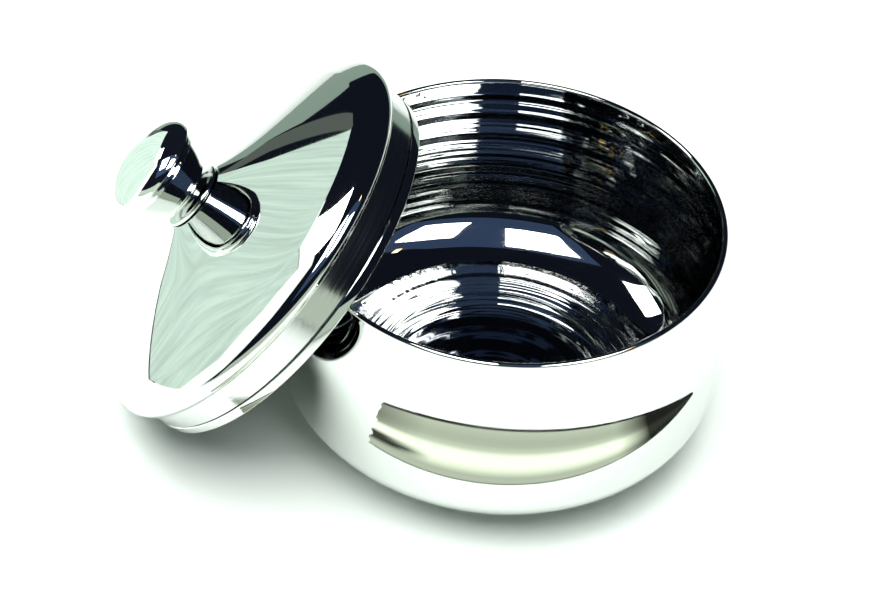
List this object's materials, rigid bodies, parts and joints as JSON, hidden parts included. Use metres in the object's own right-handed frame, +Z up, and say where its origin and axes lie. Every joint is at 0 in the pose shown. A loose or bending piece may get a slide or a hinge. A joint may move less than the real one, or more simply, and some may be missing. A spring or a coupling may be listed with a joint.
{
  "type": "shaving bowl",
  "caption": "Polished stainless-steel shaving bowl with a lift-off conical lid and domed knob; the lid leans against the rim.",
  "frame": {"origin": "centre of the bowl's flat base, on the surface it stands on", "axes": "+Z up along the bowl's axis; the lid leans on the bowl from the -X side, its knob pointing up towards -X"},
  "size_m": [0.1477, 0.1072, 0.0809],
  "materials": {
    "polished_steel": "mirror-polished stainless steel",
    "satin_steel": "satin stainless steel",
    "plain_steel": "bright plated steel",
    "brass": "machined brass"
  },
  "bodies": {
    "bowl": {"bowl_shell": "polished_steel"},
    "lid": {"lid_shell": "polished_steel", "lid_plug_ring": "satin_steel", "knob_base_disc": "polished_steel", "knob_body": "polished_steel", "knob_cap": "polished_steel", "knob_insert": "brass", "knob_screw": "plain_steel", "flat_washer": "plain_steel", "lock_washer": "plain_steel"}
  },
  "joints": [
    {"name": "lid_lift", "type": "slide", "parent": "bowl", "child": "lid", "axis": [-0.757, 0, 0.6534], "range_m": [0, 0.08]}
  ]
}
